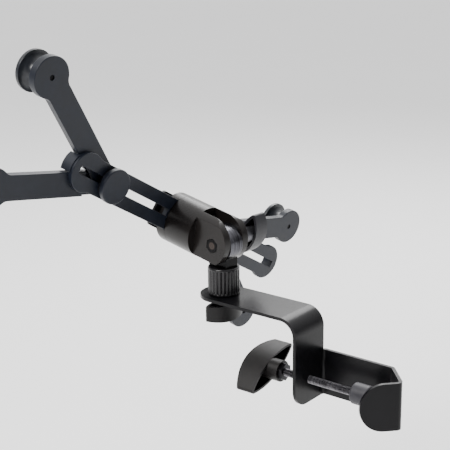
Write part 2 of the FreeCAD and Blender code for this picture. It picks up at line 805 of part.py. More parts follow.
def slotted_bar():
    """Make the bar with its two slots, round ends and end lips."""
    body = new_body("slotted_bar")
    left, right, half = bar_reach["left"], bar_reach["right"], size["bar_width"] / 2
    disc = size["bar_disc_radius"]
    strip = Outline(body, "bar_outline", "XY_Plane", bar_face)
    strip.path((-left, -half), (right, -half), (right, half), (-left, half))
    pad(body, strip, size["bar_thickness"], "bar_strip")
    ends = Outline(body, "bar_end_outline", "XY_Plane", bar_face)
    ends.circle(right, 0, disc).circle(-left, 0, disc)
    pad(body, ends, size["bar_thickness"], "bar_ends")
    neck = root(disc * disc - half * half)
    left_neck, right_neck = neck - left, right - neck
    necks = upright_at((right_neck, half), (right_neck, -half), (left_neck, half), (left_neck, -half))
    fillet(body, size["bar_neck_radius"], "bar_necks", necks)
    width = size["slot_width"] / 2
    start, past = size["slot_start"], size["slot_past_end"]
    slots = Outline(body, "slot_outline", "XY_Plane", bar_face)
    for near, far in ((start, right + past), (-start, -left - past)):
        slots.path((near, width), (near, -width), (far, -width), (far, width))
    pocket(body, slots, size["bar_thickness"], "slots", upward=True)
    hole = Outline(body, "bar_hole_outline", "XY_Plane", bar_face)
    hole.circle(0, 0, size["swivel_diameter"] / 2 + size["running_gap"])
    pocket(body, hole, size["bar_thickness"], "bar_hole", upward=True)
    fillet(body, size["bar_edge_radius"], "bar_rims", level_at(bar_face))
    inner, outer = size["lip_inner_radius"], size["lip_outer_radius"]
    wide, narrow = size["lip_outer_side_angle"], size["lip_inner_side_angle"]
    lips = Outline(body, "lip_outline", "XY_Plane", bar_back - size["bar_thickness"] / 2)
    for centre, heading in ((right, as_size(0)), (-left, as_size(180))):
        low, high = heading - narrow, heading + wide
        lips.path(
            (centre + inner * cosine(low), inner * sine(low)),
            (centre + outer * cosine(low), outer * sine(low)), Arc(centre, 0),
            (centre + outer * cosine(high), outer * sine(high)),
            (centre + inner * cosine(high), inner * sine(high)), Arc(centre, 0, clockwise=True),
        )
    pad(body, lips, size["lip_height"] + size["bar_thickness"] / 2, "lips")
    return body


def lock_bolt(label):
    """Turn the low-headed bolt that joins a pair of arms to the bar."""
    radius, head = size["lock_bolt_diameter"] / 2, size["lock_head_diameter"] / 2
    high = arm_back + size["lock_head_height"]
    low = bar_face - size["washer_thickness"] - size["lock_bore_depth"] + size["face_gap"]
    return turned_piece(label, [
        (0, low), (radius, low), (radius, arm_back), (head, arm_back), (head, high), (0, high),
    ])


def lock_knob(label):
    """Turn the round knob with a narrower foot that stands on the lock washer."""
    radius, foot = size["lock_knob_diameter"] / 2, size["lock_knob_foot_diameter"] / 2
    bore = size["lock_bolt_diameter"] / 2 + size["thread_gap"]
    edge = size["lock_knob_edge_radius"]
    high = -size["lock_knob_height"]
    step = -size["lock_knob_foot_height"]
    return turned_piece(label, [
        (bore, 0), (foot, 0), (foot, step), (radius, step), (radius, high + edge),
        Arc(radius - edge, high + edge, clockwise=True), (radius - edge, high), (0, high),
        (0, -size["lock_bore_depth"]), (bore, -size["lock_bore_depth"]),
    ])


def arm(label, nearer):
    """Make an arm from its eye on the lock bolt to the disc that carries a roller."""
    body = new_body(label)
    reach, half = size["arm_length"], size["arm_width"] / 2
    eye, disc = size["arm_eye_radius"], size["arm_disc_radius"]
    shank = Outline(body, label + "_shank", "XY_Plane", bar_back)
    shank.path((0, -half), (reach, -half), (reach, half), (0, half))
    pad(body, shank, size["arm_thickness"], label + "_bar")
    ends = Outline(body, label + "_ends", "XY_Plane", bar_back)
    ends.circle(0, 0, eye).circle(reach, 0, disc)
    pad(body, ends, size["arm_thickness"], label + "_discs")
    neck = reach - root(disc * disc - half * half)
    fillet(body, size["arm_neck_radius"], label + "_necks", upright_at((neck, half), (neck, -half)))
    fillet(body, size["arm_edge_radius"], label + "_rims", level_at(bar_back, arm_back))
    holes = Outline(body, label + "_holes", "XY_Plane", bar_back)
    holes.circle(0, 0, size["lock_bolt_diameter"] / 2 + size["running_gap"])
    holes.circle(reach, 0, size["pin_diameter"] / 2 + size["thread_gap"])
    pocket(body, holes, size["arm_thickness"], label + "_bores", upward=True)
    lap_start = bar_back + lap_thickness if nearer else bar_back
    lap = Outline(body, label + "_lap_outline", "XY_Plane", lap_start)
    lap.circle(0, 0, size["lap_radius"])
    pocket(body, lap, size["arm_thickness"] - lap_thickness, label + "_lap", upward=True)
    return body


def roller(label):
    """Turn the waisted roller that holds the tablet's edge, standing on the XY plane."""
    bore = size["pin_diameter"] / 2 + size["running_gap"]
    rim, flange = size["roller_rim_radius"], size["roller_flange_radius"]
    waist, middle_height = size["roller_waist_radius"], size["roller_waist_height"]
    groove, length = size["roller_groove_end"], size["roller_length"]
    seat = length - size["pin_head_height"] - size["face_gap"]
    sink = size["pin_head_diameter"] / 2 + size["hole_gap"]
    lower = (middle_height * middle_height + (rim - waist) * (rim - waist)) / ((rim - waist) * 2)
    rise, depth = groove - middle_height, flange - waist
    upper = (rise * rise + depth * depth) / (depth * 2)
    chamfer = size["roller_chamfer"]
    return turned_piece(label, [
        (bore, 0), (rim, 0), Arc(waist + lower, middle_height, clockwise=True), (waist, middle_height),
        Arc(waist + upper, middle_height, clockwise=True), (flange, groove), (flange, length - chamfer),
        (flange - chamfer, length), (sink, length), (sink, seat), (bore, seat),
    ])


def roller_pin(label):
    """Turn the headed pin of a roller."""
    radius, head = size["pin_diameter"] / 2, size["pin_head_diameter"] / 2
    under = size["roller_length"] - size["pin_head_height"]
    low = -size["roller_gap"] - size["arm_thickness"] + size["pin_recess"]
    return turned_piece(label, [
        (0, low), (radius, low), (radius, under), (head, under), (head, size["roller_length"]),
        (0, size["roller_length"]),
    ])


def rotation(axis, angle):
    """Rotation about an axis by a size in degrees."""
    return FreeCAD.Rotation(axis, as_size(angle).value)


def place(piece, spot, turn_by):
    """Give a finished sub-part its placement."""
    base = FreeCAD.Vector(*(as_size(item).value for item in spot))
    piece.Placement = FreeCAD.Placement(base, turn_by)
    return piece


def place_on(piece, frame, spot, turn_by):
    """Place a sub-part in the frame of a joint."""
    base = FreeCAD.Vector(*(as_size(item).value for item in spot))
    piece.Placement = frame.multiply(FreeCAD.Placement(base, turn_by))
    return piece


unturned = FreeCAD.Rotation()
along_screw = rotation(ALONG_Y, 90)
pan_turn = rotation(UP, size["pan_angle"])
pan_frame = FreeCAD.Placement(FreeCAD.Vector(pan_x.value, 0, 0), pan_turn)
head_neutral = rotation(UP, 90).multiply(rotation(ALONG_X, -90))
tilt_turn = pan_turn.multiply(rotation(ALONG_Y, size["tilt_angle"])).multiply(head_neutral)
pivot = FreeCAD.Vector(pan_x.value, 0, pivot_height.value)
tilt_frame = FreeCAD.Placement(pivot, tilt_turn)
tube_axis = pivot + tilt_turn.multVec(FreeCAD.Vector(0, -size["tube_rise"].value, 0))
roll_frame = FreeCAD.Placement(tube_axis, tilt_turn.multiply(rotation(UP, size["roll_angle"])))

stud_bore = size["stud_diameter"] / 2 + size["thread_gap"]
loose_bore = size["stud_diameter"] / 2 + size["hole_gap"]
parts = [
    clamp_bracket(),
    place(clamp_screw(), (0, 0, 0), along_screw),
    place(clamp_lock_nut(), (screw_head - size["lock_nut_thickness"], 0, 0), along_screw),
    place(pressure_cap(), (0, 0, 0), along_screw),
]
screw_bore = size["screw_diameter"] / 2 + size["thread_gap"]
clamp_wing = wing_knob("clamp_knob", "clamp_wing", size["clamp_wing_hub_reach"], screw_bore)
wing_turn = rotation(ALONG_X, size["clamp_wing_angle"] + 90).multiply(along_screw)
parts.append(place(clamp_wing, (screw_head - size["lock_nut_thickness"], 0, 0), wing_turn))

pan_washer_low = plate_under - size["washer_thickness"]
parts += [
    place_on(fluted_collar(), pan_frame, (0, 0, 0), unturned),
    place_on(knuckle_post(), pan_frame, (0, 0, 0), unturned),
    place_on(pan_bolt(), pan_frame, (0, 0, 0), unturned),
]
pan_ring = washer("pan_washer", size["washer_diameter"], size["washer_thickness"], loose_bore)
parts.append(place_on(pan_ring, pan_frame, (0, 0, pan_washer_low), unturned))
pan_wing = wing_knob("pan_knob", "wing", size["pan_hub_reach"], stud_bore)
pan_wing_turn = rotation(UP, size["pan_wing_angle"])
parts.append(place_on(pan_wing, pan_frame, (0, 0, pan_washer_low), pan_wing_turn))

tilt_step = size["tilt_washer_thickness"]
tilt_ring = washer("tilt_washer", size["tilt_washer_diameter"], tilt_step, loose_bore)
tilt_wing = wing_knob("tilt_knob", "wing", size["tilt_hub_reach"], stud_bore)
tilt_wing_turn = rotation(ALONG_X, size["tilt_wing_angle"]).multiply(rotation(ALONG_Y, -90))
parts += [
    place_on(clevis_tube(), tilt_frame, (0, 0, 0), unturned),
    place_on(tilt_bolt(), tilt_frame, (0, 0, 0), unturned),
    place_on(tilt_ring, tilt_frame, (cheek_outer, 0, 0), along_screw),
    place_on(tilt_wing, tilt_frame, (cheek_outer + tilt_step, 0, 0), tilt_wing_turn),
    place_on(swivel_screw(), roll_frame, (0, 0, 0), unturned),
    place_on(saddle_block(), roll_frame, (0, 0, 0), unturned),
    place_on(backing_plate(), roll_frame, (0, 0, 0), unturned),
    place_on(backing_screws(), roll_frame, (0, 0, 0), unturned),
    place_on(slotted_bar(), roll_frame, (0, 0, 0), unturned),
]

lock_bore = size["lock_bolt_diameter"] / 2 + size["hole_gap"]
sides = {
    "left": (size["left_carriage_inset"] - bar_reach["left"], 180),
    "right": (bar_reach["right"] - size["right_carriage_inset"], 0),
}
levels = {"left": ("upper", "lower"), "right": ("lower", "upper")}
for side, (spot, heading) in sides.items():
    step = size["washer_thickness"]
    low = bar_face - step
    ring = washer(f"lock_washer_{side}", size["lock_washer_diameter"], step, lock_bore)
    grip = lock_knob(f"lock_knob_{side}")
    parts += [
        place_on(lock_bolt(f"lock_bolt_{side}"), roll_frame, (spot, 0, 0), unturned),
        place_on(ring, roll_frame, (spot, 0, low), unturned),
        place_on(grip, roll_frame, (spot, 0, low - size["face_gap"]), unturned),
    ]
    swings = (size[side + "_outer_arm_angle"], -size[side + "_inner_arm_angle"])
    for level, swing, nearer in zip(levels[side], swings, (True, False)):
        angle = swing + heading
        end_x = spot + size["arm_length"] * cosine(angle)
        end = (end_x, size["arm_length"] * sine(angle), roller_start)
        limb = arm(f"arm_{side}_{level}", nearer)
        wheel = roller(f"roller_{side}_{level}")
        axle = roller_pin(f"pin_{side}_{level}")
        parts += [
            place_on(limb, roll_frame, (spot, 0, 0), rotation(UP, angle)),
            place_on(wheel, roll_frame, end, unturned),
            place_on(axle, roll_frame, end, unturned),
        ]

doc.recompute()
for item in doc.Objects:
    if "Invalid" in item.State or "Error" in item.State:
        raise RuntimeError(f"{item.Label} failed: {item.State}")
os.makedirs("parts", exist_ok=True)
for piece in parts:
    if piece.Shape.isNull() or not piece.Shape.isValid():
        raise RuntimeError(f"{piece.Label} has no valid shape")
for piece in parts:
    piece.Shape.exportStep(f"parts/{piece.Label}.step")
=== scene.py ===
"""Looks of the tablet clamp mount: finishes, softened edges, the clamp's thread and the collar's ribs.

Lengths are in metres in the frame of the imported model, and MM turns millimetres into metres.
"""
import json
import math

import bmesh
import bpy
from mathutils import Matrix, Vector


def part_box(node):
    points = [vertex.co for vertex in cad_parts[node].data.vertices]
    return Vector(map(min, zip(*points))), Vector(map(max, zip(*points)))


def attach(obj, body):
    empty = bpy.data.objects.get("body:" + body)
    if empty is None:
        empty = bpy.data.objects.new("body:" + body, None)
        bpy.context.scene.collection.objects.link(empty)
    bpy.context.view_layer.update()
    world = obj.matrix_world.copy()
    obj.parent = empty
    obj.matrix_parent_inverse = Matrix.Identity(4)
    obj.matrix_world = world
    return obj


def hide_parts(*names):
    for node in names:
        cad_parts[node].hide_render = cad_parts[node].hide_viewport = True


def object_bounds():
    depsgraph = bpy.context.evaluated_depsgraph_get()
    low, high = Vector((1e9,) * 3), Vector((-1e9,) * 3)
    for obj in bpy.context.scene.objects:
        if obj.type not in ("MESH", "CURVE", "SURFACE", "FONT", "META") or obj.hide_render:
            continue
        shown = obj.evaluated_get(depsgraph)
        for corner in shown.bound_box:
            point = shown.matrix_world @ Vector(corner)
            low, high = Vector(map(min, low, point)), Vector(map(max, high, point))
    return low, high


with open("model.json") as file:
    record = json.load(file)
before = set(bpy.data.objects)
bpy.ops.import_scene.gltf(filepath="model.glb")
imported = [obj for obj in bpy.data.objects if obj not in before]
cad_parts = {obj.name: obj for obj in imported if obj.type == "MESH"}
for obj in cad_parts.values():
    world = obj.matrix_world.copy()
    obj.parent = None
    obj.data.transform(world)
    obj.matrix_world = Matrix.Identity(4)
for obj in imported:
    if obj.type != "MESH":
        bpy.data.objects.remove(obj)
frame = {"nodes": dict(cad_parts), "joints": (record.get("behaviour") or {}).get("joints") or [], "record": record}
cad_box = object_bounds()
nodes = frame["nodes"]
joints = {joint["name"]: joint for joint in frame["joints"]}
bodies = frame["record"]["behaviour"]["bodies"]
MM = 0.001
UP = Vector((0, 0, 1))

# Camera at the photograph's viewing angle: angles in degrees, lens and sensor in millimetres
AZIMUTH, ELEVATION, TILT = 38.51, 16.52, -0.69
LENS, SENSOR = 94.78, 36.0
CAMERA_PLACE = Vector((392.66, -670.39, 359.50)) * MM
NEAREST_SEEN = 50 * MM

# The floor leaves room under the object for its lowest pose
FLOOR_DROP = 165 * MM
FLOOR_REACH = 40.0

# Edges that turn more than EDGE_ANGLE are softened; under FLAT_ANGLE two faces are made one
EDGE_ANGLE = math.radians(35)
FLAT_ANGLE = math.radians(0.5)
SAME_POINT = 0.001 * MM
# The layer marks softened faces, for edge wear and for painted edge highlight
WEAR_AND_HIGHLIGHT_LAYER = "edge_wear_and_highlight"

# Widths of the softened edges
BROAD_EDGE = 0.5 * MM
EDGE = 0.45 * MM
HEAD_EDGE = 0.3 * MM
SMALL_EDGE = 0.2 * MM
THIN_EDGE = 0.15 * MM

# Thread of the clamp screw. Its layer tells how near a point lies to the crest; the roots far from it get painted
# shade
THREAD_PITCH = 1.0 * MM
THREAD_DEPTH = 0.6 * THREAD_PITCH
THREAD_SIDES = 40
RINGS_PER_TURN = 8
CREST_LAYER = "thread_crest"

# Ribs of the collar, and the plain band above and below them
RIB_COUNT = 24
RIB_DEPTH = 0.9 * MM
PLAIN_BAND = 1.6 * MM
POINTS_PER_RIB = 12
SLEEVE_RINGS = 44

# Height where the black neck of the knuckle meets its bright eye
NECK_TOP = 83.5 * MM

# Radius of the steel insert in a wing knob, and how soon it fades into the plastic
WING_HUB = 6.4 * MM
HUB_RIM = 0.3 * MM

# Between these radii the tilt bolt turns from steel to painted shade, the dark of its pocket
HEAD_RADIUS = 2.5 * MM
POCKET_RADIUS = 3.3 * MM


def set_camera():
    """Put the camera at the photograph's angle, and give its right and its level backward direction."""
    azimuth, elevation, tilt = (math.radians(angle) for angle in (AZIMUTH, ELEVATION, TILT))
    right = Vector((math.cos(azimuth), math.sin(azimuth), 0))
    level_back = Vector((math.sin(azimuth), -math.cos(azimuth), 0))
    back = level_back * math.cos(elevation) + UP * math.sin(elevation)
    up = back.cross(right)
    turned_right = right * math.cos(tilt) + up * math.sin(tilt)
    turned_up = up * math.cos(tilt) - right * math.sin(tilt)
    data = bpy.data.cameras.new("photo_camera")
    data.lens = LENS
    data.sensor_width = SENSOR
    data.clip_start = NEAREST_SEEN
    camera = bpy.data.objects.new("photo_camera", data)
    bpy.context.scene.collection.objects.link(camera)
    turn = Matrix((turned_right, turned_up, back)).transposed()
    camera.matrix_world = Matrix.Translation(CAMERA_PLACE) @ turn.to_4x4()
    bpy.context.scene.camera = camera
    return right, level_back


def linear(red, green, blue):
    """Turn a screen colour from 0 to 255 into the linear colour that shaders use, by the sRGB curve."""
    shares = [value / 255 for value in (red, green, blue)]
    return tuple(s / 12.92 if s <= 0.04045 else ((s + 0.055) / 1.055) ** 2.4 for s in shares) + (1.0,)


def paler(colour, times):
    """A colour made lighter, at most white."""
    return tuple(min(1.0, share * times) for share in colour[:3]) + (1.0,)


# Steel that shows in the knobs, and a black used both for black steel and for painted shade in recesses
INSERT_STEEL = linear(104, 104, 108)
BLACK_AND_SHADE = linear(12, 12, 13)


class Value:
    """A node's output on which arithmetic adds the nodes that it needs."""

    def __init__(self, tree, socket):
        self.tree = tree
        self.socket = socket

    def math(self, operation, *others):
        """The value after a Math node."""
        return self.tree.add("ShaderNodeMath", {"operation": operation}, [self, *others])

    def vector(self, operation, *others, output="Vector"):
        """The vector after a Vector Math node."""
        settings = {"operation": operation}
        return self.tree.add("ShaderNodeVectorMath", settings, [self, *others], output)

    def __add__(self, other):
        return self.math("ADD", other)

    def __radd__(self, other):
        return self.math("ADD", other)

    def __sub__(self, other):
        return self.math("SUBTRACT", other)

    def __rsub__(self, other):
        return self.tree.add("ShaderNodeMath", {"operation": "SUBTRACT"}, [other, self])

    def __mul__(self, other):
        return self.math("MULTIPLY", other)

    def __rmul__(self, other):
        return self.math("MULTIPLY", other)

    def __truediv__(self, other):
        return self.math("DIVIDE", other)

    def __rtruediv__(self, other):
        return self.tree.add("ShaderNodeMath", {"operation": "DIVIDE"}, [other, self])

    def __abs__(self):
        return self.math("ABSOLUTE")

    def clamp(self):
        """The value kept from 0 to 1."""
        return self.tree.add("ShaderNodeClamp", {}, {"Value": self}, "Result")

    def between(self, low, high):
        """0 below low, 1 above high and smooth between them."""
        settings = {"interpolation_type": "SMOOTHSTEP"}
        sockets = {"Value": self, "From Min": low, "From Max": high}
        return self.tree.add("ShaderNodeMapRange", settings, sockets, "Result")

    def split(self):
        """The x, y and z of a vector."""
        outputs = self.tree.add("ShaderNodeSeparateXYZ", {}, {"Vector": self}).socket.node.outputs
        return [Value(self.tree, output) for output in outputs]


class Tree:
    """A node tree that gets every new node from add()."""

    def __init__(self, made):
        self.made = made

    def add(self, kind, settings, sockets, output=0):
        """Add a node: its settings first, then values or links for its sockets."""
        node = self.made.nodes.new(kind)
        for name, setting in settings.items():
            setattr(node, name, setting)
        named = sockets.items() if isinstance(sockets, dict) else enumerate(sockets)
        for key, value in named:
            self.give(node.inputs[key], value)
        return Value(self, node.outputs[output]) if node.outputs else None

    def give(self, socket, value):
        """Link a Value to a socket, or set any other value on it."""
        if isinstance(value, Value):
            self.made.links.new(value.socket, socket)
        else:
            socket.default_value = value

    def mix(self, factor, first, second):
        """Mix two colours, which a Mix node takes at its sockets 6 and 7 and gives at its output 2."""
        return self.add("ShaderNodeMix", {"data_type": "RGBA"}, {0: factor, 6: first, 7: second}, 2)


class Finish(Tree):
    """One material round its Principled shader."""

    def __init__(self, name):
        self.material = bpy.data.materials.new(name)
        self.material.use_nodes = True
        super().__init__(self.material.node_tree)
        self.shader = self.made.nodes["Principled BSDF"]
        self.place = self.add("ShaderNodeTexCoord", {}, {}, "Object")

    def noise(self, scale, detail=4.0, roughness=0.55, place=None):
        """Noise from 0 to 1 with a scale in cells to the metre."""
        sockets = {"Vector": place or self.place, "Scale": scale, "Detail": detail}
        return self.add("ShaderNodeTexNoise", {}, {**sockets, "Roughness": roughness}, "Fac")

    def layer(self, name):
        """A value from 0 to 1 that the mesh carries."""
        settings = {"attribute_type": "GEOMETRY", "attribute_name": name}
        return self.add("ShaderNodeAttribute", settings, {}, "Fac")

    def bump(self, height, strength, distance):
        sockets = {"Height": height, "Strength": strength, "Distance": distance}
        return self.add("ShaderNodeBump", {}, sockets, "Normal")

    def about(self, joint):
        """Height along a joint's axis and distance from it."""
        axis = tuple(Vector(joints[joint]["axis"]).normalized())
        from_axis = self.place.vector("SUBTRACT", tuple(joints[joint].get("pos_m", (0, 0, 0))))
        along = from_axis.vector("DOT_PRODUCT", axis, output="Value")
        return along, from_axis.vector("CROSS_PRODUCT", axis).vector("LENGTH", output="Value")

    def set(self, **inputs):
        """Set sockets of the shader, by name with underscores for spaces."""
        for name, value in inputs.items():
            self.give(self.shader.inputs[name.replace("_", " ")], value)
        return self.material


def moulded_plastic(name, colour, light, gloss, hub=None):
    """Moulded plastic with a spark-eroded texture, mottling, rubs and paler edges that are partly wear and partly
    painted highlight.

    gloss is the roughness of an average spot, so half of what the noises add is taken off again.
    A hub, given by its joint and radius, shows the dark steel insert in the knob's middle.
    """
    finish = Finish(name)
    mottle = finish.noise(42, detail=3)
    blotch = finish.noise(210)
    texture = finish.noise(2300, detail=2, roughness=0.6)
    rub_place = finish.place.vector("MULTIPLY", (1.0, 1.0, 0.25))
    rubs = finish.noise(320, detail=6, roughness=0.7, place=rub_place).between(0.6, 0.74)
    edge = finish.layer(WEAR_AND_HIGHLIGHT_LAYER) * finish.noise(650, detail=3).between(0.25, 0.55)
    tone = (mottle * 0.6 + blotch * 0.4).between(0.3, 0.72)
    base = finish.mix(tone, colour, light)
    # Paler softened edges: partly wear, partly a painted highlight along the rims
    base = finish.mix(edge * 0.7, base, paler(light, 5.0))
    base = finish.mix(rubs * 0.12, base, paler(light, 2.0))
    roughness = mottle * 0.16 + blotch * 0.1 + texture * 0.08 + (gloss - 0.17)
    roughness = roughness - edge * 0.12 - rubs * 0.06
    normal = finish.bump(texture * 0.8 + blotch * 0.25, 0.3, 0.06 * MM)
    if hub:
        joint, radius = hub
        reach = finish.about(joint)[1]
        steel = 1.0 - reach.between(radius - HUB_RIM, radius)
        base = finish.mix(steel, base, INSERT_STEEL)
        finish.set(Metallic=steel * 0.9)
    return finish.set(Base_Color=base, Roughness=roughness, Normal=normal, Specular_IOR_Level=0.3)


def powder_coat(name, colour, light, gloss, specular):
    """Baked powder coat: fine orange peel, dust of the pigment and rubbed edges."""
    finish = Finish(name)
    drift = finish.noise(24, detail=3)
    peel = finish.noise(900, detail=2, roughness=0.5)
    grain = finish.noise(3600, detail=2)
    scuff_place = finish.place.vector("MULTIPLY", (0.35, 1.0, 1.0))
    scuffs = finish.noise(420, detail=6, roughness=0.72, place=scuff_place).between(0.62, 0.76)
    edge = finish.layer(WEAR_AND_HIGHLIGHT_LAYER) * finish.noise(480).between(0.42, 0.66)
    base = finish.mix(drift.between(0.3, 0.7), colour, light)
    base = finish.mix(edge * 0.5, base, paler(light, 3.2))
    base = finish.mix(scuffs * 0.12, base, paler(light, 2.4))
    roughness = drift * 0.10 + grain * 0.08 + (gloss - 0.09) + scuffs * 0.08 - edge * 0.1
    normal = finish.bump(peel * 0.8 + grain * 0.35, 0.22, 0.05 * MM)
    return finish.set(Base_Color=base, Roughness=roughness, Normal=normal, Specular_IOR_Level=specular)


def roller_rubber(name, colour, light, gloss):
    """Smooth dark rubber with faint mould haze and a low sheen."""
    finish = Finish(name)
    haze = finish.noise(130)
    skin = finish.noise(2600, detail=2, roughness=0.6)
    edge = finish.layer(WEAR_AND_HIGHLIGHT_LAYER) * finish.noise(500, detail=3).between(0.35, 0.62)
    base = finish.mix(haze.between(0.3, 0.7), colour, light)
    base = finish.mix(edge * 0.35, base, paler(light, 2.2))
    roughness = haze * 0.14 + skin * 0.06 + (gloss - 0.1)
    normal = finish.bump(skin * 0.6 + haze * 0.4, 0.18, 0.05 * MM)
    return finish.set(Base_Color=base, Roughness=roughness, Normal=normal, Specular_IOR_Level=0.42)


def turned_steel(name, joint, dark, light, gloss, black_and_shade=None):
    """Dark steel with the fine rings that a lathe leaves round a joint's axis.

    black_and_shade takes the finish and gives, from 0 to 1, where black is laid on: the knuckle neck's own black,
    and painted shade in the thread roots and round the tilt bolt's head.
    """
    finish = Finish(name)
    along, reach = finish.about(joint)
    line_place = finish.add("ShaderNodeCombineXYZ", {}, [along, reach, 0.0])
    lines = finish.noise(5200, detail=3, roughness=0.7, place=line_place)
    bands = finish.noise(900, detail=3, place=line_place)
    stain = finish.noise(160)
    base = finish.mix((lines * 0.3 + bands * 0.45 + stain * 0.25).between(0.36, 0.64), dark, light)
    base = finish.mix(finish.layer(WEAR_AND_HIGHLIGHT_LAYER) * 0.5, base, paler(light, 1.8))
    if black_and_shade:
        # Black laid on: the neck's own black, and painted shade in thread roots and round the tilt bolt's head
        base = finish.mix(black_and_shade(finish), base, BLACK_AND_SHADE)
    roughness = lines * 0.16 + stain * 0.12 + (gloss - 0.14)
    normal = finish.bump(lines * 0.7 + bands * 0.5, 0.3, 0.03 * MM)
    return finish.set(Base_Color=base, Roughness=roughness, Normal=normal, Metallic=0.9)


def shade_in_thread_roots(finish):
    """Painted shade in the roots between the crests of the thread."""
    return 1.0 - finish.layer(CREST_LAYER).between(0.35, 0.9)


def under_the_eye(finish):
    """Black on the knuckle's neck, under its round eye."""
    height = finish.place.split()[2]
    return 1.0 - height.between(NECK_TOP - MM, NECK_TOP + MM)


def shade_round_the_head(finish):
    """Painted shade in the ring between the tilt bolt's head and its pocket."""
    return finish.about("tilt")[1].between(HEAD_RADIUS, POCKET_RADIUS)


class Recipe(Tree):
    """A geometry node tree with named inputs."""

    def __init__(self, name, **inputs):
        super().__init__(bpy.data.node_groups.new(name, "GeometryNodeTree"))
        for label, value in inputs.items():
            kind = "NodeSocketFloat" if isinstance(value, float) else "NodeSocketMaterial"
            self.made.interface.new_socket(label, in_out="INPUT", socket_type=kind)
        self.made.interface.new_socket("Geometry", in_out="OUTPUT", socket_type="NodeSocketGeometry")
        self.given = self.add("NodeGroupInput", {}, {}).socket.node.outputs
        self.values = inputs

    def __getitem__(self, label):
        return Value(self, self.given[label])

    def grow(self, geometry, name):
        """Close the tree with Realize Instances and Set Material, and turn its result into a mesh."""
        solid = self.add("GeometryNodeRealizeInstances", {}, {"Geometry": geometry})
        sockets = {"Geometry": solid, "Material": self["finish"]}
        dressed = self.add("GeometryNodeSetMaterial", {}, sockets)
        self.add("NodeGroupOutput", {}, {"Geometry": dressed})
        carrier = bpy.data.objects.new(name, bpy.data.meshes.new(name))
        bpy.context.scene.collection.objects.link(carrier)
        modifier = carrier.modifiers.new(name, "NODES")
        modifier.node_group = self.made
        for item in self.made.interface.items_tree:
            if item.in_out == "INPUT":
                modifier[item.identifier] = self.values[item.name]
        return freeze(carrier, modifier)


def freeze(piece, modifier):
    """Keep a modifier's result as the piece's plain mesh and take the modifier off."""
    depsgraph = bpy.context.evaluated_depsgraph_get()
    mesh = bpy.data.meshes.new_from_object(piece.evaluated_get(depsgraph))
    piece.modifiers.remove(modifier)
    piece.data = mesh
    return piece


def round_stock(recipe, around, along):
    """A cylinder to carve, and at its points the angle, the height, the way out and what is side."""
    sockets = {
        "Vertices": around, "Side Segments": along, "Radius": recipe["radius"],
        "Depth": recipe["length"],
    }
    stock = recipe.add("GeometryNodeMeshCylinder", {"fill_type": "TRIANGLE_FAN"}, sockets, "Mesh")
    place = recipe.add("GeometryNodeInputPosition", {}, {})
    x, y, height = place.split()
    angle = y.math("ARCTAN2", x)
    from_axis = place.vector("MULTIPLY", (1.0, 1.0, 0.0))
    outward = from_axis.vector("NORMALIZE")
    reach = from_axis.vector("LENGTH", output="Value")
    side = reach.math("GREATER_THAN", recipe["radius"] * 0.5)
    return stock, angle, height, outward, side


def carve(recipe, stock, outward, side, depth):
    """Press the side of the stock in by a depth along the radius."""
    sockets = {"Vector": outward, "Scale": depth * -1.0}
    inward = recipe.add("ShaderNodeVectorMath", {"operation": "SCALE"}, sockets)
    sockets = {"Geometry": stock, "Selection": side, "Offset": inward}
    return recipe.add("GeometryNodeSetPosition", {}, sockets)


def threaded_rod(name, finish, radius, length):
    """A rod with a cut thread along Z, centred on the origin, whose ends taper over one turn."""
    flank, flat_crest = 1.35, 0.18
    end_depth = 0.8
    recipe = Recipe(
        name + "_thread", radius=radius, length=length, pitch=THREAD_PITCH, depth=THREAD_DEPTH,
        finish=finish)
    rings = round(length / THREAD_PITCH * RINGS_PER_TURN)
    stock, angle, height, outward, side = round_stock(recipe, THREAD_SIDES, rings)
    phase = (height / recipe["pitch"] - angle * (0.5 / math.pi)).math("FRACT")
    ridge = abs(phase - 0.5) * 2.0
    groove = (ridge * flank - flat_crest).clamp()
    from_end = (recipe["length"] * 0.5 - abs(height)) / recipe["pitch"]
    taper = (1.0 - from_end.clamp()) * end_depth
    cut = groove.math("MAXIMUM", taper)
    carved = carve(recipe, stock, outward, side, cut * recipe["depth"])
    sockets = {"Geometry": carved, "Name": CREST_LAYER, "Value": 1.0 - cut}
    return recipe.grow(recipe.add("GeometryNodeStoreNamedAttribute", {}, sockets), name)


def ribbed_sleeve(name, finish, radius, length):
    """A sleeve with rounded ribs between two plain bands, centred on the origin along Z."""
    rib_roundness = 2.6
    fade, chamfer, chamfer_depth = 0.5, 0.45, 0.9
    recipe = Recipe(
        name + "_ribs", radius=radius, length=length, ribs=float(RIB_COUNT), depth=RIB_DEPTH,
        band=PLAIN_BAND, finish=finish)
    stock, angle, height, outward, side = round_stock(recipe, RIB_COUNT * POINTS_PER_RIB, SLEEVE_RINGS)
    wave = (angle * recipe["ribs"]).math("COSINE") * 0.5 + 0.5
    groove = wave.math("POWER", rib_roundness)
    from_end = recipe["length"] * 0.5 - abs(height)
    inside = ((from_end - recipe["band"]) / (recipe["band"] * fade)).clamp()
    bevel = (1.0 - (from_end / (recipe["band"] * chamfer)).clamp()) * chamfer_depth
    cut = (groove * inside).math("MAXIMUM", bevel)
    return recipe.grow(carve(recipe, stock, outward, side, cut * recipe["depth"]), name)


def settle(piece, turn, spot):
    """Put a piece's place into its mesh and leave its object at the origin."""
    piece.data.transform(Matrix.Translation(spot) @ turn)
    smooth(piece.data)
    return piece


def smooth(mesh):
    """Shade a mesh smooth between its sharp edges."""
    mesh.polygons.foreach_set("use_smooth", [True] * len(mesh.polygons))
    mesh.set_sharp_from_angle(angle=EDGE_ANGLE)
    mesh.update()


def stand_for(piece, node):
    """Let a piece stand for a CAD node and ride on the body that holds it."""
    body = next(name for name, members in bodies.items() if node in members)
    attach(piece, body)
    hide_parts(node)


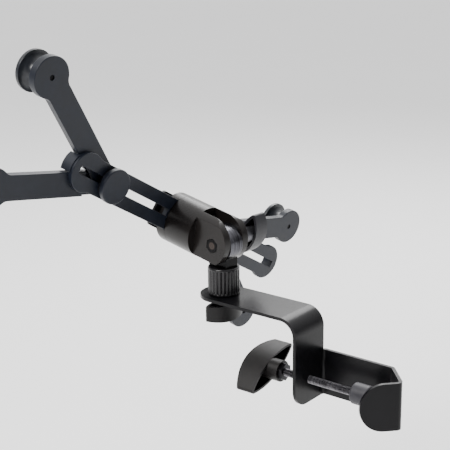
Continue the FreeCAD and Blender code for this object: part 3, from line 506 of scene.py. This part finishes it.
def soften(node, finish, width=EDGE, steps=2):
    """Stand a copy with softened edges in for a node; the softened faces carry the layer for edge wear and painted
    edge highlight.
    """
    work = bmesh.new()
    work.from_mesh(nodes[node].data)
    bmesh.ops.remove_doubles(work, verts=work.verts, dist=SAME_POINT)
    bmesh.ops.dissolve_limit(work, angle_limit=FLAT_ANGLE, verts=work.verts, edges=work.edges)
    sharp = [edge for edge in work.edges if edge.is_manifold and edge.calc_face_angle() > EDGE_ANGLE]
    softened = bmesh.ops.bevel(
        work, geom=sharp, offset=width, offset_type="OFFSET", segments=steps, profile=0.5,
        affect="EDGES", clamp_overlap=True)
    layer = work.faces.layers.float.new(WEAR_AND_HIGHLIGHT_LAYER)
    for face in softened["faces"]:
        if face.is_valid:
            face[layer] = 1.0
    mesh = bpy.data.meshes.new(node + "_body")
    work.to_mesh(mesh)
    work.free()
    mesh.materials.append(finish)
    smooth(mesh)
    piece = bpy.data.objects.new(node + "_body", mesh)
    bpy.context.scene.collection.objects.link(piece)
    broad = piece.modifiers.new("broad_faces", "WEIGHTED_NORMAL")
    broad.keep_sharp = True
    stand_for(freeze(piece, broad), node)


def paint(node, finish):
    """Give a CAD node a finish."""
    for holder in nodes[node].material_slots:
        holder.material = finish


def lay_floor(level):
    """Lay a wide pale floor at a height."""
    mesh = bpy.data.meshes.new("studio_floor")
    signs = ((-1, -1), (1, -1), (1, 1), (-1, 1))
    corners = [(x * FLOOR_REACH, y * FLOOR_REACH, level) for x, y in signs]
    mesh.from_pydata(corners, [], [(0, 1, 2, 3)])
    floor = bpy.data.objects.new("studio_floor", mesh)
    bpy.context.scene.collection.objects.link(floor)
    pale, palest = (0.94, 0.94, 0.94, 1), (0.97, 0.97, 0.97, 1)
    finish = Finish("pale_floor")
    tone = finish.mix(finish.noise(3.0, detail=3), pale, palest)
    mesh.materials.append(finish.set(Base_Color=tone, Roughness=0.8))


def add_light(name, spot, target, size, watts, colour):
    """Add a soft square light aimed at a point."""
    data = bpy.data.lights.new(name, "AREA")
    data.shape = "SQUARE"
    data.size = size
    data.energy = watts
    data.color = colour
    light = bpy.data.objects.new(name, data)
    bpy.context.scene.collection.objects.link(light)
    light.location = spot
    light.rotation_euler = (target - spot).to_track_quat("-Z", "Y").to_euler()


def hang_lights(middle, right, back):
    """Hang a warm key light, a cool fill and a rim light round the object's middle."""
    key_spot = middle + back * 0.7 - right * 0.9 + UP * 1.1
    fill_spot = middle + back * 1.2 + right * 0.9 + UP * 0.5
    rim_spot = middle - back * 1.0 + right * 0.3 + UP * 0.9
    add_light("key", key_spot, middle, size=0.6, watts=28, colour=(1.0, 0.99, 0.97))
    add_light("fill", fill_spot, middle, size=1.2, watts=1.2, colour=(0.86, 0.93, 1.0))
    add_light("rim", rim_spot, middle, size=0.8, watts=20, colour=(1.0, 1.0, 1.0))


def light_room(back):
    """Surround the object with soft light, brightest from above and behind it."""
    dim, bright = (0.05, 0.05, 0.055, 1), (1.0, 1.0, 1.0, 1)
    dim_until, bright_from = -0.1, 0.95
    strength = 2.1
    world = bpy.data.worlds.new("studio")
    world.use_nodes = True
    room = Tree(world.node_tree)
    heading = room.add("ShaderNodeTexCoord", {}, {}, "Generated")
    brightest = tuple((UP * 0.66 - back * 0.75).normalized())
    nearness = heading.vector("DOT_PRODUCT", brightest, output="Value")
    backdrop = room.made.nodes["Background"]
    share = nearness.between(dim_until, bright_from)
    room.give(backdrop.inputs["Color"], room.mix(share, dim, bright))
    room.give(backdrop.inputs["Strength"], strength)
    bpy.context.scene.world = world


# Camera, floor and light
low, high = cad_box
right, back = set_camera()
lay_floor(low.z - FLOOR_DROP)
hang_lights((low + high) / 2, right, back)
light_room(back)

# Plastics
charcoal = moulded_plastic("charcoal_plastic", linear(13, 17, 26), linear(21, 26, 37), gloss=0.42)
clamp_plastic = moulded_plastic("clamp_knob_plastic", linear(17, 15, 15), linear(24, 21, 21), gloss=0.5)
pan_plastic = moulded_plastic(
    "pan_knob_plastic", linear(14, 13, 14), linear(20, 18, 19), gloss=0.46,
    hub=("pan_knob_turn", WING_HUB))
# The tilt knob's plastic is paler than the other knobs': a painted highlight for the light it catches
tilt_plastic_painted_highlight = moulded_plastic(
    "tilt_knob_plastic", linear(36, 36, 40), linear(48, 48, 52), gloss=0.42,
    hub=("tilt_knob_turn", WING_HUB))
cap_plastic = moulded_plastic("cap_plastic", linear(46, 45, 50), linear(60, 59, 64), gloss=0.5)
rubber = roller_rubber("roller_rubber", linear(24, 26, 31), linear(36, 39, 45), gloss=0.34)

# Coated metal
bracket_coat = powder_coat(
    "bracket_coat", linear(10, 10, 12), linear(16, 15, 18), gloss=0.29, specular=0.16)
# The tube's dark grey is the coat's own colour; its slight warm tint is a painted reflection
tube_coat = powder_coat("tube_coat", linear(19, 17, 17), linear(27, 24, 23), gloss=0.28, specular=0.22)
collar_coat = powder_coat(
    "collar_coat", linear(24, 23, 25), linear(32, 31, 33), gloss=0.28, specular=0.35)

# Turned steel
knuckle_steel = turned_steel(
    "knuckle_steel", "tilt", linear(28, 28, 31), linear(94, 94, 100), gloss=0.24,
    black_and_shade=under_the_eye)
# The tilt bolt's head gets a ring of painted shade where it sits in its pocket
bolt_steel = turned_steel(
    "bolt_steel", "tilt", linear(46, 40, 38), linear(70, 62, 58), gloss=0.34,
    black_and_shade=shade_round_the_head)
washer_steel = turned_steel("washer_steel", "tilt", linear(44, 44, 47), linear(70, 70, 74), gloss=0.26)
pan_steel = turned_steel("pan_steel", "pan", linear(50, 50, 52), linear(70, 70, 73), gloss=0.36)
# The clamp screw's thread roots get painted shade
screw_steel = turned_steel(
    "screw_steel", "clamp_turn", linear(104, 102, 106), linear(165, 163, 168), gloss=0.3,
    black_and_shade=shade_in_thread_roots)
nut_steel = turned_steel("nut_steel", "clamp_turn", linear(30, 30, 32), linear(46, 45, 48), gloss=0.32)
head_steel = turned_steel("head_steel", "roll", linear(44, 44, 47), linear(60, 60, 64), gloss=0.34)
# Near-black pins: painted shade, so each pin reads as the dark of its hole
pin_black = turned_steel("pin_black", "roll", linear(8, 8, 9), linear(14, 14, 15), gloss=0.5)

# Pole clamp
soften("clamp_bracket", bracket_coat, BROAD_EDGE, steps=3)
soften("clamp_knob", clamp_plastic, BROAD_EDGE, steps=3)
soften("clamp_lock_nut", nut_steel)
soften("pressure_cap", cap_plastic)

# Pan and tilt knuckle
soften("knuckle_post", knuckle_steel)
soften("clevis_tube", tube_coat, steps=3)
soften("pan_knob", pan_plastic, BROAD_EDGE, steps=3)
soften("pan_washer", pan_steel, THIN_EDGE)
paint("pan_bolt", pan_steel)
soften("tilt_knob", tilt_plastic_painted_highlight, BROAD_EDGE, steps=3)
soften("tilt_washer", washer_steel, HEAD_EDGE)
soften("tilt_bolt", bolt_steel, HEAD_EDGE)

# Head with its two carriages and four arms
soften("saddle_block", tube_coat)
soften("backing_plate", bracket_coat)
soften("slotted_bar", charcoal)
paint("swivel_screw", head_steel)
paint("backing_screws", head_steel)
for side in ("left", "right"):
    soften(f"lock_knob_{side}", charcoal)
    soften(f"lock_washer_{side}", head_steel, THIN_EDGE)
    soften(f"lock_bolt_{side}", head_steel, SMALL_EDGE)
    for level in ("upper", "lower"):
        soften(f"arm_{side}_{level}", charcoal)
        soften(f"roller_{side}_{level}", rubber)
        soften(f"pin_{side}_{level}", pin_black, SMALL_EDGE)

# Cut thread of the clamp screw
low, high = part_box("clamp_screw")
rod = threaded_rod("clamp_screw_thread", screw_steel, (high.z - low.z) / 2, high.x - low.x)
along_screw = Matrix.Rotation(math.radians(90), 4, "Y")
stand_for(settle(rod, along_screw, (low + high) / 2), "clamp_screw")

# Ribs of the collar
low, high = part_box("fluted_collar")
sleeve = ribbed_sleeve("fluted_collar_sleeve", collar_coat, (high.x - low.x) / 2, high.z - low.z)
stand_for(settle(sleeve, Matrix.Identity(4), (low + high) / 2), "fluted_collar")
